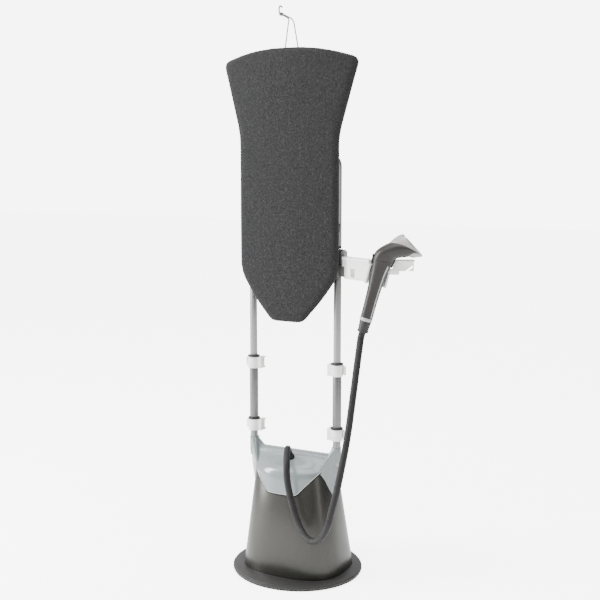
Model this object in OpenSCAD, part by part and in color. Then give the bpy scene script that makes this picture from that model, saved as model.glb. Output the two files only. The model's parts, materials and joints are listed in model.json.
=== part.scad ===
// Upright garment steamer with a tilting ironing board and a hand-held steam head.
// Origin: on the floor, midway between the two poles. +X right, +Y to the rear, +Z up.

/* [Poles] */
// Distance from the middle to each pole's axis
pole_x = 140; // [132:1:150]
// Outer radius of the upper tubes
upper_tube_r = 11; // [9:0.5:11]
// Outer radius of the lower tubes
lower_tube_r = 13; // [13:0.5:14]
// Wall of the upper and lower tubes
tube_wall = 1.5; // [1:0.1:1.5]
// Height of the joint between the stub tubes and the lower tubes
lower_joint_z = 440; // [430:1:450]
// Height of the top of the lower tubes
upper_joint_z = 640; // [620:1:680]
// How far the upper tubes slide down
mast_travel = 150; // [60:1:150]
// Height of the board's tilt axis
hinge_z = 975; // [950:1:1000]

/* [Clamps] */
// Outer radius of a clamp ring
clamp_r = 17.5; // [16:0.5:19]
// Height of a clamp ring
clamp_h = 34; // [30:1:40]
// Height of the dark collar on a clamp
collar_h = 4.5; // [3:0.5:6]
// Radius of a lever's pin
lever_pin_r = 2; // [1.5:0.1:2.5]

/* [Base] */
// Half length of the base plate from left to right
plate_a = 200; // [185:1:220]
// Half length of the base plate from front to back
plate_b = 190; // [180:1:210]
// Thickness of the base plate
plate_h = 10; // [8:0.5:14]
// Height of the rubber foot ring
foot_h = 4; // [3:0.5:8]
// Half length of the body at its bottom, left to right
body_a = 162; // [150:1:175]
// Half length of the body at its bottom, front to back
body_b = 136; // [128:1:150]
// Half length of the body at its shoulder, left to right
shoulder_a = 120; // [114:1:124]
// Half length of the body at its shoulder, front to back
shoulder_b = 99; // [92:1:106]
// Height of the shoulder
shoulder_z = 322; // [310:1:330]
// Height of the dome above the shoulder
dome_h = 30; // [26:1:32]
// Wall of the body shell
body_wall = 3; // [2.5:0.1:4]
// Thickness of the top cover
cover_t = 3.7; // [3:0.1:4.5]

/* [Board] */
// Front of the board's cover
board_front_y = -58; // [-64:1:-56]
// Half width of the board's straight part
board_half_w = 156; // [140:1:157]
// Half width of the board's flared top
board_top_half_w = 212; // [190:1:225]
// Height of the board's bottom edge
board_bottom_z = 777; // [765:1:800]
// Height of the board's top edge
board_top_z = 1549; // [1530:1:1600]
// Radius of the board's slight bow
bow_r = 1100; // [1000:10:1600]
// Thickness of the fabric cover
fabric_t = 2; // [1.5:0.1:3]
// Thickness of the foam pad
pad_t = 10; // [6:0.5:10]
// Thickness of the board panel
panel_t = 8; // [6:0.5:8]

/* [Steam head] */
// Half width of the grip
grip_a = 17.5; // [16:0.5:19]
// Length of the soleplate
sole_len = 85; // [76:1:92]
// Thickness of the soleplate
sole_t = 5; // [4:0.5:7]
// Radius of the steam hose
hose_r = 9.8; // [8:0.1:10]

/* [Hidden] */
$fn = 48;

// Fits, shared by every pair of pieces that meet
gap = 0.3;
run = 0.06;
sides = [-1, 1];

// Colours
graphite = [0.26, 0.27, 0.26];
cloud = [0.70, 0.72, 0.73];
silver = [0.66, 0.66, 0.66];
white = [0.93, 0.93, 0.90];
charcoal = [0.29, 0.29, 0.30];
black = [0.07, 0.07, 0.07];
taupe = [0.36, 0.34, 0.33];

// Places that follow from the sizes above
deck_z = foot_h + plate_h;
shell_n = 2.7;
ring_sides = 60;
shoulder_y = 15;
body_y = 25;
plate_y = 18;
clamp_low_z = lower_joint_z - clamp_h / 2;
clamp_top_z = upper_joint_z - 23;
upper_tube_bottom = lower_joint_z + 14 + mast_travel;
tube_bore_r = lower_tube_r - tube_wall;
stub_r = tube_bore_r - 0.1;
stub_bottom = shoulder_z + 23;
stub_top = lower_joint_z + 10;
knuckle_r = 16;
hinge_pin_r = 4;
neck_h = 14;
cap_neck_top = hinge_z - knuckle_r - 1;
upper_tube_top = cap_neck_top - neck_h;
ridge_z = shoulder_z + dome_h + 24;
bridge_t = 22;

// Body shape at a height: half lengths and middle
function mix(p, q, k) = p + (q - p) * k;
function level(z) = (z - deck_z) / (shoulder_z - deck_z);
function half_a(z) = mix(body_a, shoulder_a, level(z));
function half_b(z) = mix(body_b, shoulder_b, level(z));
function middle_y(z) = mix(body_y, shoulder_y, level(z));
function rear_y(z) = middle_y(z) + half_b(z);
function signed_pow(v, p) = sign(v) * pow(abs(v), p);

// One ring of a rounded-square section
function oval(a, b, n, y, z) = [for (i = [0:ring_sides - 1])
    let (t = 360 * i / ring_sides)
    [a * signed_pow(cos(t), 2 / n), y + b * signed_pow(sin(t), 2 / n), z]];

// A closed solid through rings of equal point counts, lowest ring first
module loft(rings) {
    count = len(rings[0]);
    last = len(rings) - 1;
    walls = [for (k = [0:last - 1], i = [0:count - 1], half = [0, 1])
        let (j = (i + 1) % count, low = k * count, high = (k + 1) * count)
        half == 0 ? [low + i, high + i, low + j] : [high + i, high + j, low + j]];
    polyhedron(
        points = [for (r = rings, p = r) p],
        faces = concat([[for (i = [0:count - 1]) i]], walls,
                       [[for (i = [count - 1:-1:0]) last * count + i]]));
}

dome_steps = [1, 0.985, 0.94, 0.86, 0.74, 0.58, 0.38, 0.15];

// The body's outer form, grown outwards by g, cut off at bottom z0
module body_form(g, z0) {
    straight = [for (z = [z0, mix(z0, shoulder_z, 0.5), shoulder_z])
        oval(half_a(z) + g, half_b(z) + g, shell_n, middle_y(z), z)];
    dome = [for (k = dome_steps)
        oval((shoulder_a + g) * k, (shoulder_b + g) * k, shell_n, shoulder_y,
             shoulder_z + (dome_h + g) * (1 - pow(k, 4)) + 0.01)];
    loft(concat(straight, dome));
}

module slab(a, b, y, z, h) {
    translate([0, 0, z]) linear_extrude(h)
        polygon([for (p = oval(a, b, 2, y, 0)) [p[0], p[1]]]);
}

module box(low, high) {
    translate(low) cube(high - low);
}

// A cylinder along X from x0 to x1
module rod_x(x0, x1, y, z, r) {
    translate([x0, y, z]) rotate([0, 90, 0]) cylinder(r = r, h = x1 - x0);
}

module tube_z(x, y, z0, z1, r, bore) {
    translate([x, y, z0]) difference() {
        cylinder(r = r, h = z1 - z0);
        translate([0, 0, -1]) cylinder(r = bore, h = z1 - z0 + 2);
    }
}

// ---------- Base ----------

screw_spots = [[-120, -50], [120, -50], [-120, 90], [120, 90]];
screw_r = 2;

module base_plate() {
    color(graphite) difference() {
        union() {
            slab(plate_a - 3, plate_b - 3, plate_y, foot_h, plate_h);
            slab(plate_a, plate_b, plate_y, foot_h, plate_h - 4);
        }
        for (p = screw_spots)
            translate([p[0], p[1], 0]) cylinder(r = screw_r, h = deck_z + 1);
    }
}

module foot_ring() {
    color(black) difference() {
        slab(plate_a - 2, plate_b - 2, plate_y, 0, foot_h);
        slab(plate_a - 24, plate_b - 24, plate_y, -1, foot_h + 2);
    }
    color(black) cylinder(r = 25, h = foot_h);
}

module base_screws() {
    color(silver) for (p = screw_spots)
        translate([p[0], p[1], 0]) {
            translate([0, 0, foot_h - 2]) cylinder(r = 4, h = 2);
            translate([0, 0, foot_h]) cylinder(r = screw_r, h = plate_h + 3);
        }
}

post_x = 92;
tray_t = 4;

module chassis() {
    floor_z = deck_z + 0.3;
    color(charcoal) difference() {
        union() {
            slab(half_a(deck_z) - 8, half_b(deck_z) - 8, middle_y(deck_z), floor_z, tray_t);
            for (s = sides)
                box([s * post_x - 6, -10, floor_z], [s * post_x + 6, 10, shoulder_z - 16]);
            box([-tank_half_w, tank_y, tank_z0 - 8], [tank_half_w, tank_y + 60, tank_z0 - 3]);
            for (x = [-60, 60])
                box([x - 5, tank_y + 5, floor_z], [x + 5, tank_y + 45, tank_z0 - 3]);
        }
        for (p = screw_spots)
            translate([p[0], p[1], 0]) cylinder(r = screw_r, h = deck_z + tray_t + 2);
    }
}

tank_half_w = 78;
tank_y = 62;
tank_z0 = 44;
tank_z1 = 300;
button_x = 60;
button_y = 58;
button_r = 12;
gland_y = -22;
gland_z = 350;
gland_r = 13;
inlet_x = -112;
inlet_z = 44;

module gland_axis() {
    translate([0, gland_y, gland_z]) rotate([30, 0, 0]) children();
}

module body_shell() {
    color(graphite) difference() {
        body_form(0, deck_z);
        difference() {
            body_form(-body_wall, deck_z);
            box([-200, -200, 0], [200, 300, deck_z]);
        }
        translate([0, 0, -1]) slab(half_a(deck_z) - body_wall - 2, half_b(deck_z) - body_wall - 2,
                                   middle_y(deck_z), 0, deck_z + 12);
        box([-tank_half_w - 1, tank_y - 4, tank_z0 - 3.5], [tank_half_w + 1, 260, tank_z1 + 1]);
        translate([button_x, button_y, shoulder_z]) cylinder(r = button_r + 0.4, h = 60);
        gland_axis() translate([0, 0, -30]) cylinder(r = gland_r - 3, h = 60);
        gland_axis() translate([0, 0, 4 - gap]) cylinder(r = gland_r, h = 60);
        translate([inlet_x, 0, inlet_z]) rotate([-90, 0, 0]) cylinder(r = 8, h = 200);
        for (s = sides)
            box([s * post_x - 9, -bridge_t / 2 - 1, shoulder_z - 20], [s * post_x + 9, bridge_t / 2 + 1, 400]);
    }
}

tongue_half = 51;
tongue_z = 264;
notch_x = 108;
notch_z = 331;

module tongue_outline() {
    polygon([[-112, 420], [-112, notch_z + 6], [-notch_x, notch_z], [-tongue_half - 12, tongue_z + 14],
             [-tongue_half + 8, tongue_z + 3], [0, tongue_z], [tongue_half - 8, tongue_z + 3],
             [tongue_half + 12, tongue_z + 14], [notch_x, notch_z], [112, notch_z + 6], [112, 420]]);
}

module top_cover() {
    color(cloud) difference() {
        intersection() {
            difference() {
                body_form(gap + cover_t, 200);
                body_form(gap, 190);
            }
            translate([0, -bridge_t / 2 - gap, 0]) rotate([90, 0, 0]) linear_extrude(160) tongue_outline();
        }
        kites(gap);
        gland_axis() translate([0, 0, -30]) cylinder(r = gland_r, h = 80);
    }
}

// Side gussets: from each stub down to a point on the body's flank
kite_tip_z = 250;
kite_half_y = 44;

module kites(g) {
    for (s = sides)
        hull() {
            translate([s * pole_x, 0, ridge_z + 24]) cylinder(r = stub_r + g, h = 2, $fn = 32);
            translate([s * (pole_x - 4), 0, shoulder_z - 4]) cylinder(r = 10 + g, h = 2, $fn = 32);
            for (y = sides)
                translate([s * (notch_x - 4), y * kite_half_y, notch_z + 2]) sphere(r = 4 + g, $fn = 16);
            translate([s * (half_a(kite_tip_z) + 2), 0, kite_tip_z]) sphere(r = 4 + g, $fn = 16);
        }
}

// Flat bridge between the stubs, with a fillet in each corner
bridge_fillet = 26;

module yoke() {
    color(cloud) difference() {
        union() {
            difference() {
                kites(0);
                body_form(gap, 190);
            }
            difference() {
                translate([0, bridge_t / 2, 0]) rotate([90, 0, 0]) linear_extrude(bridge_t) bridge_solid();
                body_form(gap, 190);
            }
            for (s = sides) {
                box([s * post_x - 8, -bridge_t / 2, shoulder_z - 15.7], [s * post_x + 8, bridge_t / 2, ridge_z - 4]);
                translate([s * pole_x, 0, ridge_z - 20]) cylinder(r = stub_r + 1.6, h = 46);
            }
        }
        for (s = sides)
            translate([s * pole_x, 0, stub_bottom]) cylinder(r = stub_r, h = 200);
    }
}

module bridge_solid() {
    inner = pole_x - stub_r;
    cx = inner - bridge_fillet;
    cz = ridge_z + bridge_fillet;
    arc = [for (t = [270:9:360]) [cx + bridge_fillet * cos(t), cz + bridge_fillet * sin(t)]];
    half = concat([[0, notch_z], [100, notch_z], [pole_x - 3, notch_z + 14], [pole_x, cz]],
                  [for (i = [len(arc) - 1:-1:0]) arc[i]], [[0, ridge_z]]);
    union() {
        polygon(half);
        mirror([1, 0, 0]) polygon(half);
    }
}

module stub_tubes() {
    color(silver) for (s = sides)
        tube_z(s * pole_x, 0, stub_bottom, stub_top, stub_r, stub_r - tube_wall);
}

module hose_gland() {
    color(black) gland_axis() difference() {
        union() {
            translate([0, 0, -4]) cylinder(r = gland_r - 3, h = 8);
            translate([0, 0, 4]) cylinder(r = gland_r - 0.1, h = 10);
            translate([0, 0, 14]) cylinder(r1 = gland_r - 0.1, r2 = hose_r + 1, h = 8);
        }
        translate([0, 0, -5]) cylinder(r = 5, h = 40);
    }
}

module cord_inlet() {
    y0 = inlet_y - 6;
    color(black) translate([inlet_x, y0, inlet_z]) rotate([-90, 0, 0]) difference() {
        union() {
            cylinder(r = 7.9, h = 6);
            translate([0, 0, 6]) cylinder(r = 11, h = 8);
        }
        translate([0, 0, 2]) cylinder(r = 3.6, h = 20);
    }
}

// The inlet stands on the shell's rear wall, where that wall crosses its axis
inlet_y = middle_y(inlet_z) + (half_b(inlet_z) + 1)
    * pow(1 - pow((abs(inlet_x) - 11) / half_a(inlet_z), shell_n), 1 / shell_n) + 1;

boiler_x = -40;
boiler_y = -38;
boiler_r = 48;
boiler_h = 120;
pump_x = 60;
pump_y = -30;
tray_top = deck_z + 0.3 + tray_t;

module boiler() {
    color(silver) translate([boiler_x, boiler_y, tray_top + 22]) difference() {
        cylinder(r = boiler_r, h = boiler_h);
        translate([0, 0, 3]) cylinder(r = boiler_r - 3, h = boiler_h - 6);
    }
}

module heating_element() {
    color(taupe) translate([boiler_x, boiler_y, tray_top]) {
        translate([0, 0, 14]) cylinder(r = boiler_r - 4, h = 8);
        for (t = [0:120:240])
            rotate([0, 0, t]) translate([boiler_r - 14, 0, 0]) cylinder(r = 5, h = 15);
    }
}

module thermostat() {
    color(black) translate([boiler_x, boiler_y, tray_top + 22 + boiler_h]) cylinder(r = 10, h = 8);
}

module pump() {
    color(white) translate([pump_x, pump_y, tray_top]) {
        box([-22, -18, 0], [22, 18, 40]);
        translate([0, 0, 40]) cylinder(r = 9, h = 14);
    }
}

module water_pipes() {
    color(silver) {
        rod_x(boiler_x + boiler_r, pump_x, pump_y, tray_top + 80, 3);
        translate([pump_x, pump_y, tray_top + 54]) cylinder(r = 3, h = 26);
        box([pump_x - 4, pump_y + 18, tray_top + 8], [pump_x + 4, tank_y + 5, tray_top + 14]);
    }
}

module steam_pipe() {
    z0 = tray_top + 22 + boiler_h;
    color(silver) {
        translate([boiler_x + 26, boiler_y, z0]) cylinder(r = 4, h = 150);
        box([boiler_x + 22, boiler_y - 4, z0 + 150], [4, boiler_y + 4, z0 + 158]);
    }
}

module control_board() {
    color([0.1, 0.4, 0.25]) box([68, 20, tray_top], [126, 24, tray_top + 90]);
}

module power_button() {
    color(cloud) translate([button_x, button_y, shoulder_z + 10]) {
        cylinder(r = button_r, h = dome_h - 8);
        cylinder(r = button_r + 3, h = 5);
    }
}

// ---------- Water tank ----------

module tank_form(g) {
    intersection() {
        body_form(-g, tank_z0 - 10);
        box([-tank_half_w + g, tank_y + g, tank_z0 + g], [tank_half_w - g, 260, tank_z1 - g]);
    }
}

module water_tank() {
    color([0.35, 0.38, 0.40, 0.8]) difference() {
        tank_form(0);
        tank_form(3);
        translate([0, tank_y + 34, tank_z0 - 1]) cylinder(r = 9, h = 5);
        flap_place(-4) box([-26, -10, 3], [26, 10, 27]);
    }
}

module tank_valve() {
    color(white) translate([0, tank_y + 34, tank_z0 - 2.4]) cylinder(r = 9, h = 7);
}

flap_z = 250;
wall_lean = atan((rear_y(deck_z) - rear_y(shoulder_z)) / (shoulder_z - deck_z));

module flap_place(out) {
    translate([0, rear_y(flap_z) + out, flap_z]) rotate([wall_lean, 0, 0]) children();
}

module filler_flap() {
    color(charcoal) flap_place(0.6) {
        rod_x(-30, 30, 1.5, 0, 1.9);
        box([-32, 0, 0], [32, 3, 34]);
        box([-8, 3, 26], [8, 7, 31]);
    }
}

// ---------- Poles ----------

module lower_tubes() {
    color(silver) for (s = sides)
        tube_z(s * pole_x, 0, lower_joint_z, upper_joint_z, lower_tube_r, tube_bore_r);
}

module upper_tubes() {
    color(silver) for (s = sides)
        tube_z(s * pole_x, 0, upper_tube_bottom, upper_tube_top, upper_tube_r, upper_tube_r - tube_wall);
}

lever_u = 23;
lever_v = 14;
lug_h = 4;
lever_boss_r = 5.4;

// Turns a shape drawn for the left pole into one for side s; +X points inwards
module at_pole(s, z) {
    translate([s * pole_x, 0, z]) mirror([s > 0 ? 1 : 0, 0, 0]) children();
}

module clamp_ring(bore_low, bore_high, split) {
    difference() {
        union() {
            cylinder(r = clamp_r, h = clamp_h);
            box([clamp_r - 4, -8, 0], [28.5, 8, clamp_h]);
            for (z = [0, clamp_h - lug_h])
                box([16.5, 7, z], [30, 20, z + lug_h]);
        }
        translate([0, 0, -1]) cylinder(r = bore_low, h = split + 1);
        translate([0, 0, split - 1]) cylinder(r = bore_high, h = clamp_h);
        box([0, -1.2, -1], [40, 1.2, clamp_h + 1]);
        translate([lever_u, lever_v, -1]) cylinder(r = lever_pin_r, h = clamp_h + 2);
    }
}

module lower_clamps() {
    color(white) for (s = sides)
        at_pole(s, clamp_low_z) clamp_ring(stub_r, lower_tube_r, lower_joint_z - clamp_low_z);
}

module upper_clamps() {
    color(white) for (s = sides)
        at_pole(s, clamp_top_z) clamp_ring(lower_tube_r, upper_tube_r + run, upper_joint_z - clamp_top_z);
}

module clamp_collars() {
    color(charcoal) for (s = sides) {
        tube_z(s * pole_x, 0, clamp_low_z + clamp_h, clamp_low_z + clamp_h + collar_h, clamp_r + 1, lower_tube_r);
        tube_z(s * pole_x, 0, clamp_top_z + clamp_h, clamp_top_z + clamp_h + collar_h, clamp_r + 1,
               upper_tube_r + gap);
    }
}

module lever_pins() {
    color(silver) for (s = sides, z = [clamp_low_z, clamp_top_z])
        at_pole(s, z) translate([lever_u, lever_v, 0]) cylinder(r = lever_pin_r, h = clamp_h);
}

lever_arc_r = 20;
lever_t = 3;

module lever(s, z) {
    h = clamp_h - 2 * lug_h - 2 * gap;
    color(white) at_pole(s, z + lug_h + gap) difference() {
        union() {
            translate([lever_u, lever_v, 0]) cylinder(r = lever_boss_r, h = h);
            rotate([0, 0, 30]) rotate_extrude(angle = 140) translate([lever_arc_r, 0]) square([lever_t, h]);
            rotate([0, 0, 170]) translate([lever_arc_r, 0, 0]) box([0, -1, 0], [7, 3, h]);
        }
        translate([lever_u, lever_v, -1]) cylinder(r = lever_pin_r + run, h = h + 2);
    }
}

module lever_lower_left() { lever(-1, clamp_low_z); }
module lever_lower_right() { lever(1, clamp_low_z); }
module lever_upper_left() { lever(-1, clamp_top_z); }
module lever_upper_right() { lever(1, clamp_top_z); }

knuckle_w = 13;
knuckle_gap = 1.2;

// Outer half of each hinge, plugged into the upper tube
module pole_caps() {
    color(charcoal) for (s = sides) difference() {
        union() {
            translate([s * pole_x, 0, upper_tube_top - 15]) cylinder(r = upper_tube_r - tube_wall, h = 15);
            translate([s * pole_x, 0, upper_tube_top]) cylinder(r = upper_tube_r, h = cap_neck_top - upper_tube_top);
            if (s > 0) {
                rod_x(pole_x + knuckle_gap, pole_x + knuckle_gap + knuckle_w, 0, hinge_z, knuckle_r);
                box([pole_x + knuckle_gap, -9, upper_tube_top + 1], [pole_x + knuckle_gap + knuckle_w, 9, hinge_z - 8]);
            } else {
                rod_x(-pole_x - knuckle_gap - knuckle_w, -pole_x - knuckle_gap, 0, hinge_z, knuckle_r);
                box([-pole_x - knuckle_gap - knuckle_w, -9, upper_tube_top + 1], [-pole_x - knuckle_gap, 9, hinge_z - 8]);
            }
        }
        rod_x(-pole_x - 40, pole_x + 40, 0, hinge_z, hinge_pin_r);
        rod_x(-crossbar_half, crossbar_half, 0, crossbar_z, crossbar_r);
    }
}

crossbar_r = 5;
crossbar_z = upper_tube_top + neck_h / 2;
crossbar_half = pole_x - 4;

module crossbar() {
    color(silver) rod_x(-crossbar_half, crossbar_half, 0, crossbar_z, crossbar_r);
}

pin_in = knuckle_w + 1;
knob_x = pole_x + knuckle_gap + knuckle_w + 1;
knob_w = 10;

module hinge_pins() {
    color(silver) {
        rod_x(pole_x - pin_in, knob_x + knob_w - 2, 0, hinge_z, hinge_pin_r);
        rod_x(-pole_x - knuckle_gap - knuckle_w, -pole_x + pin_in, 0, hinge_z, hinge_pin_r);
    }
}

module tilt_knob() {
    color(charcoal) difference() {
        union() {
            rod_x(knob_x, knob_x + knob_w, 0, hinge_z, 12);
            for (t = [0:60:300])
                translate([knob_x + 2, 0, hinge_z]) rotate([t, 0, 0]) translate([0, 0, 9]) box([0, -2.5, 0], [knob_w - 2, 2.5, 5]);
        }
        rod_x(knob_x - 1, knob_x + knob_w - 2, 0, hinge_z, hinge_pin_r + run);
    }
}

// ---------- Dock ----------

dock_turn = -24.8;
dock_z0 = hinge_z - 62;
dock_z1 = dock_z0 + 31;
arm_z0 = dock_z0 - 12;
arm_z1 = dock_z1 + 27;

module at_dock(z) {
    translate([pole_x, 0, z]) rotate([0, 0, dock_turn]) children();
}

module dock_clamp() {
    h = dock_z1 - dock_z0;
    color(charcoal) at_dock(dock_z0) difference() {
        union() {
            cylinder(r = upper_tube_r + 5, h = h);
            box([0, -8, 0], [40, 8, h]);
        }
        translate([0, 0, -1]) cylinder(r = upper_tube_r, h = h + 2);
    }
}

module dock_arm() {
    color(white) at_dock(0) difference() {
        union() {
            box([40, -9, arm_z0 + 8], [arm_end, 9, arm_z1]);
            box([31, -9, dock_z1], [40, 9, arm_z1]);
            box([32, -12, arm_z1 - 8], [arm_end, 12, arm_z1]);
        }
        box([66, -20, dock_z0 + 2], [84, 20, dock_z1 - 4]);
    }
}

// Steam head frame: x forward along the head, z up, origin at the neck
head_x = 310;
head_y = -70;
head_z = 927;
head_turn = 27;
lean = 14.6;
neck_x = -14.5;
cradle_in_r = 26;
cradle_wall = 5;
arm_end = head_x - pole_x - 24;

module at_head() {
    translate([head_x, head_y, head_z]) rotate([0, 0, head_turn]) children();
}

module half_ring(r0, r1, z0, z1) {
    translate([0, 0, z0]) rotate_extrude(angle = 180) translate([r0, 0]) square([r1 - r0, z1 - z0]);
}

// Half ring behind the leaning grip, and a plate that runs forward under the head
module dock_cradle() {
    rest_x0 = 14;
    rest_x1 = 86;
    rest_top = 46;
    color(cloud) difference() {
        at_head() union() {
            translate([neck_x, 0, 0]) rotate([0, lean, 0])
                half_ring(cradle_in_r, cradle_in_r + cradle_wall, -26, 26);
            box([rest_x0, 10, 4], [rest_x1 - 40, 16, 20]);
            box([rest_x0 + 14, 10, 14], [rest_x1, 16, rest_top]);
            box([rest_x1 - 44, -12, rest_top - 4], [rest_x1, 16, rest_top]);
        }
        at_head() translate([rest_x1 - 6, 0, 24]) rotate([0, 52, 0]) box([-3, 0, -34], [3, 30, 4]);
        at_dock(0) box([0, -12, arm_z0 - 1], [arm_end, 12, arm_z1 + 1]);
    }
}

// ---------- Board ----------

// Half outline of the board: x, z and how far each corner's rounding reaches
function board_corners(g) = [
    [47 + g * 0.5, board_bottom_z - g, 16], [103 + g, board_bottom_z + 64 - g * 0.6, 30],
    [board_half_w + g, board_bottom_z + 138, 34], [board_half_w + g, board_top_z - 239, 40],
    [board_top_half_w + g, board_top_z - 31 + g * 0.5, 24], [100, board_top_z + g, 76]];
function all_corners(g) = concat(board_corners(g), [for (i = [5:-1:0])
    let (p = board_corners(g)[i]) [-p[0], p[1], p[2]]]);
function toward(p, q, d) = p + (q - p) * d / norm(q - p);
function flat(p) = [p[0], p[1]];
corner_steps = 6;
function rounded(c) = [for (i = [0:len(c) - 1], k = [0:corner_steps])
    let (n = len(c), p = flat(c[i]), t = k / corner_steps,
         a = toward(p, flat(c[(i + n - 1) % n]), c[i][2]),
         b = toward(p, flat(c[(i + 1) % n]), c[i][2]))
    a * (1 - t) * (1 - t) + p * 2 * t * (1 - t) + b * t * t];

// Depth of the bowed sheet's surface at a distance x from the middle, d behind the cover's face
function bow_y(x, d) = board_front_y + bow_r - sqrt(pow(bow_r - d, 2) - x * x);
bow_half = board_top_half_w + 20;
bow_steps = 24;

// A bowed sheet of the board's outline, from depth d0 to d1 behind the cover's face
module bowed(g, d0, d1) {
    xs = [for (i = [0:bow_steps]) mix(-bow_half, bow_half, i / bow_steps)];
    band = concat([for (x = xs) [x, bow_y(x, d0)]], [for (i = [bow_steps:-1:0]) [xs[i], bow_y(xs[i], d1)]]);
    intersection() {
        translate([0, 60, 0]) rotate([90, 0, 0]) linear_extrude(200) polygon(rounded(all_corners(g)));
        translate([0, 0, board_bottom_z - 50]) linear_extrude(board_top_z - board_bottom_z + 100) polygon(band);
    }
}

panel_back = fabric_t + pad_t + panel_t;

module board_panel() {
    color(silver) difference() {
        bowed(-1, fabric_t + pad_t, panel_back);
        for (x = [-90:60:90], z = [980:60:1280])
            translate([x, 60, z]) rotate([90, 0, 0]) cylinder(r = 9, h = 160);
    }
}

module board_pad() {
    color(white) bowed(-1, fabric_t, fabric_t + pad_t);
}

// Fabric over the pad's face and round the panel's edge
module board_cover() {
    color(charcoal) difference() {
        bowed(fabric_t - 1, 0, panel_back + fabric_t);
        bowed(-1, fabric_t, panel_back + fabric_t + 30);
    }
}

// Back of the panel at a distance x from the middle
function back_y(x) = bow_y(x, panel_back);

frame_top_z = 1270;
frame_bend = 34;
frame_low_z = hinge_z + knuckle_r + 1;
frame_bar_z = frame_top_z - upper_tube_r;

module frame_knuckles() {
    color(charcoal) for (s = sides) difference() {
        union() {
            if (s > 0) {
                rod_x(pole_x - knuckle_gap - knuckle_w, pole_x - knuckle_gap, 0, hinge_z, knuckle_r);
                box([pole_x - knuckle_gap - knuckle_w, -9, hinge_z + 4], [pole_x - knuckle_gap, 9, frame_low_z + 8]);
            } else {
                rod_x(-pole_x + knuckle_gap, -pole_x + knuckle_gap + knuckle_w, 0, hinge_z, knuckle_r);
                box([-pole_x + knuckle_gap, -9, hinge_z + 4], [-pole_x + knuckle_gap + knuckle_w, 9, frame_low_z + 8]);
            }
            translate([s * pole_x, 0, frame_low_z]) cylinder(r = upper_tube_r, h = 8);
            translate([s * pole_x, 0, frame_low_z + 8]) cylinder(r = upper_tube_r - tube_wall, h = 15);
        }
        rod_x(-pole_x - 40, pole_x + 40, 0, hinge_z, hinge_pin_r + run);
    }
}

module rear_frame() {
    z0 = frame_low_z + 8;
    bend_z = frame_bar_z - frame_bend;
    color(silver) difference() {
        union() {
            for (s = sides)
                translate([s * pole_x, 0, z0]) cylinder(r = upper_tube_r, h = bend_z - z0);
            rod_x(-pole_x + frame_bend, pole_x - frame_bend, 0, frame_bar_z, upper_tube_r);
            for (s = sides)
                translate([s * (pole_x - frame_bend), 0, bend_z]) rotate([90, 0, 0])
                    rotate([0, 0, s > 0 ? 0 : 90]) rotate_extrude(angle = 90)
                    translate([frame_bend, 0]) circle(r = upper_tube_r);
        }
        for (s = sides)
            translate([s * pole_x, 0, z0 - 1]) cylinder(r = upper_tube_r - tube_wall, h = bend_z - z0 - 20);
    }
}

module board_brackets() {
    color(charcoal) difference() {
        union() {
            for (s = sides) {
                box([s * 80 - 12, back_y(68), frame_bar_z - 15], [s * 80 + 12, 0, frame_bar_z + 15]);
                box([s * pole_x - 10, back_y(pole_x - 10), 1040], [s * pole_x + 10, 0, 1064]);
            }
        }
        rod_x(-pole_x, pole_x, 0, frame_bar_z, upper_tube_r);
        for (s = sides)
            translate([s * pole_x, 0, 1000]) cylinder(r = upper_tube_r, h = 200);
        bowed(2, 0, panel_back);
    }
}

hook_y = -16;
hook_z = board_top_z - 37;
hook_foot_x = 24.5;
hook_wire_r = 1.9;
hook_pin_r = 2.3;

module hook_bracket() {
    color(charcoal) difference() {
        union() {
            box([-20, -34, hook_z - 14], [20, hook_y + 6, hook_z + 6]);
            box([-28, -33, hook_z - 34], [28, -29, hook_z + 6]);
        }
        rod_x(-30, 30, hook_y, hook_z, hook_pin_r + run);
        bowed(0, 0, panel_back + fabric_t + 0.02);
    }
}

// A round wire or hose along points; each ring stands square to the path
function unit(v) = v / norm(v);
function heading(p, i) = unit(p[min(i + 1, len(p) - 1)] - p[max(i - 1, 0)]);
// Carries the first ring's start direction along the path, so that the rings don't twist
function carry(u, d) = unit(u - d * (u * d));
function frames(p, i, u) = i >= len(p) ? []
    : let (d = heading(p, i), w = carry(u, d)) concat([[d, w]], frames(p, i + 1, w));
function swept(p, r, n, start) = let (f = frames(p, 0, start))
    [for (i = [0:len(p) - 1]) let (u = f[i][1], v = cross(f[i][0], u))
        [for (k = [0:n - 1]) p[i] + r * (cos(360 * k / n) * u + sin(360 * k / n) * v)]];

module sweep(p, r, n, start) {
    loft(swept(p, r, n, start));
}

hook_route = [[hook_foot_x, hook_y, hook_z], [hook_foot_x, hook_y - 0.5, hook_z + 26],
              [9, hook_y - 4, hook_z + 118], [5.6, hook_y - 7, hook_z + 126], [4, hook_y - 14, hook_z + 130],
              [3, hook_y - 40, hook_z + 133], [2.4, hook_y - 62, hook_z + 135]];
curl_r = 11;

module hanger_hook() {
    tip = hook_route[6];
    color(silver) {
        for (s = sides) {
            sweep([for (p = hook_route) [s * p[0], p[1], p[2]]], hook_wire_r, 8, [1, 0, 0]);
            rod_x(s > 0 ? 10 : -hook_foot_x - 3, s > 0 ? hook_foot_x + 3 : -10, hook_y, hook_z, hook_pin_r);
        }
        sweep([for (t = [-90:22.5:150]) [0, tip[1] - 4 - curl_r * cos(t), tip[2] + curl_r + curl_r * sin(t)]],
              hook_wire_r + 0.3, 8, [1, 0, 0]);
        translate([0, tip[1] + 3, tip[2]]) rotate([90, 0, 0]) cylinder(r = 5, h = 9, $fn = 12);
    }
}

// ---------- Steam head ----------

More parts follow.
